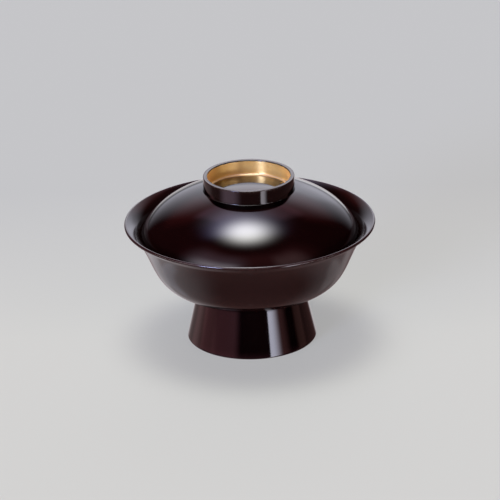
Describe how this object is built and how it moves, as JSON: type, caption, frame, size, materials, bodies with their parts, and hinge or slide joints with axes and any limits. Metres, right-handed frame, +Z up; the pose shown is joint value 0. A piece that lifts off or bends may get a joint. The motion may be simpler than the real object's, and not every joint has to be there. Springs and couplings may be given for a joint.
{
  "type": "lidded lacquer bowl",
  "caption": "Turned lacquer bowl with a flared lip on a tall hollow foot, closed by a domed lift-off lid that seats inside the lip and carries a grip ring gilded on its inside.",
  "frame": {"origin": "on the turning axis, at the plane of the foot's base ring", "axes": "+Z up along the turning axis and the lid's lift; X and Y are any two level directions, as the object is round"},
  "size_m": [0.136, 0.136, 0.0932],
  "materials": {
    "bowl_lacquer": "polished dark brown lacquer on wood",
    "foot_lacquer": "polished dark maroon lacquer on wood",
    "lid_lacquer": "mirror-polished dark brown lacquer on wood",
    "ring_lacquer": "polished near-black lacquer on wood",
    "gold_leaf": "satin gold leaf, brass standing in for gold"
  },
  "bodies": {
    "bowl_body": {"bowl": "bowl_lacquer", "foot": "foot_lacquer"},
    "lid_body": {"lid": "lid_lacquer", "lid_ring": "ring_lacquer", "ring_lining": "gold_leaf"}
  },
  "joints": [
    {"name": "lid_lift", "type": "slide", "parent": "bowl_body", "child": "lid_body", "axis": [0, 0, 1], "range_m": [0, 0.1]}
  ]
}
